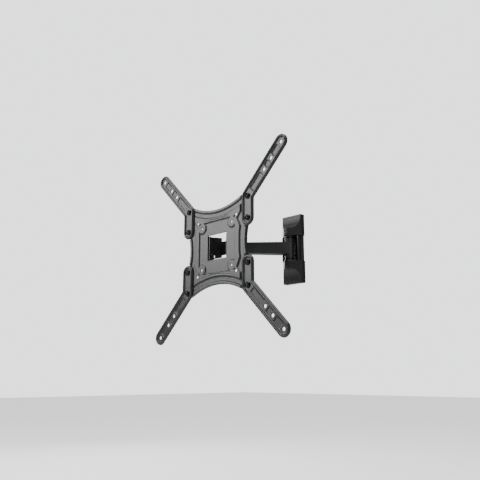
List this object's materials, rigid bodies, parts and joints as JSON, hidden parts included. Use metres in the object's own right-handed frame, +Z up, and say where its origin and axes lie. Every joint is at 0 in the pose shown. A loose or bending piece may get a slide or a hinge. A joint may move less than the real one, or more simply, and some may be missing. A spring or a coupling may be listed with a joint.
{
  "type": "full motion tv wall mount",
  "caption": "Single arm swivelling and tilting wall mount for a flat screen, with a pressed VESA plate and bent extension arms.",
  "frame": {"origin": "centre of the wall plate's back face, where it meets the wall", "axes": "+Y into the wall, -Y into the room, +X to the right seen from the room, +Z up"},
  "size_m": [0.435, 0.1839, 0.435],
  "materials": {
    "powder_coat": "satin black powder coat",
    "black_plastic": "fine grained",
    "black_steel": "black oxide",
    "zinc_steel": "zinc plated",
    "nylon": "smooth"
  },
  "bodies": {
    "wall_bracket": {"wall_plate": "powder_coat", "pivot_bracket": "powder_coat", "upper_cover": "black_plastic", "lower_cover": "black_plastic", "wall_pivot_bolt": "zinc_steel", "wall_pivot_nut": "zinc_steel", "wall_pivot_washers": "zinc_steel"},
    "arm": {"arm_tube": "powder_coat", "wall_pivot_sleeve": "powder_coat", "head_pivot_sleeve": "powder_coat", "upper_wall_bush": "nylon", "lower_wall_bush": "nylon", "upper_head_bush": "nylon", "lower_head_bush": "nylon", "wall_thrust_washers": "black_steel"},
    "head": {"tilt_bracket": "powder_coat", "head_pivot_bolt": "zinc_steel", "head_pivot_nut": "zinc_steel", "head_pivot_washers": "zinc_steel", "tilt_pivot_bolts": "black_steel", "tilt_pivot_nuts": "black_steel"},
    "tv_plate": {"vesa_plate": "powder_coat", "upper_left_arm": "powder_coat", "upper_right_arm": "powder_coat", "lower_left_arm": "powder_coat", "lower_right_arm": "powder_coat", "arm_screws": "black_steel", "arm_nuts": "zinc_steel", "tilt_lock_bolts": "black_steel", "tilt_lock_nuts": "black_steel", "tilt_washers": "zinc_steel"}
  },
  "joints": [
    {"name": "wall_swivel", "type": "hinge", "parent": "wall_bracket", "child": "arm", "pos_m": [0, -0.0225, 0], "axis": [0, 0, 1], "range_deg": [-20.9, 109.1]},
    {"name": "head_swivel", "type": "hinge", "parent": "arm", "child": "head", "pos_m": [-0.08699, -0.11227, 0], "axis": [0, 0, 1], "range_deg": [-134.1, 45.9]},
    {"name": "tilt", "type": "hinge", "parent": "head", "child": "tv_plate", "pos_m": [-0.08699, -0.16597, 0.017], "axis": [1, 0, 0], "range_deg": [-5, 10]}
  ]
}
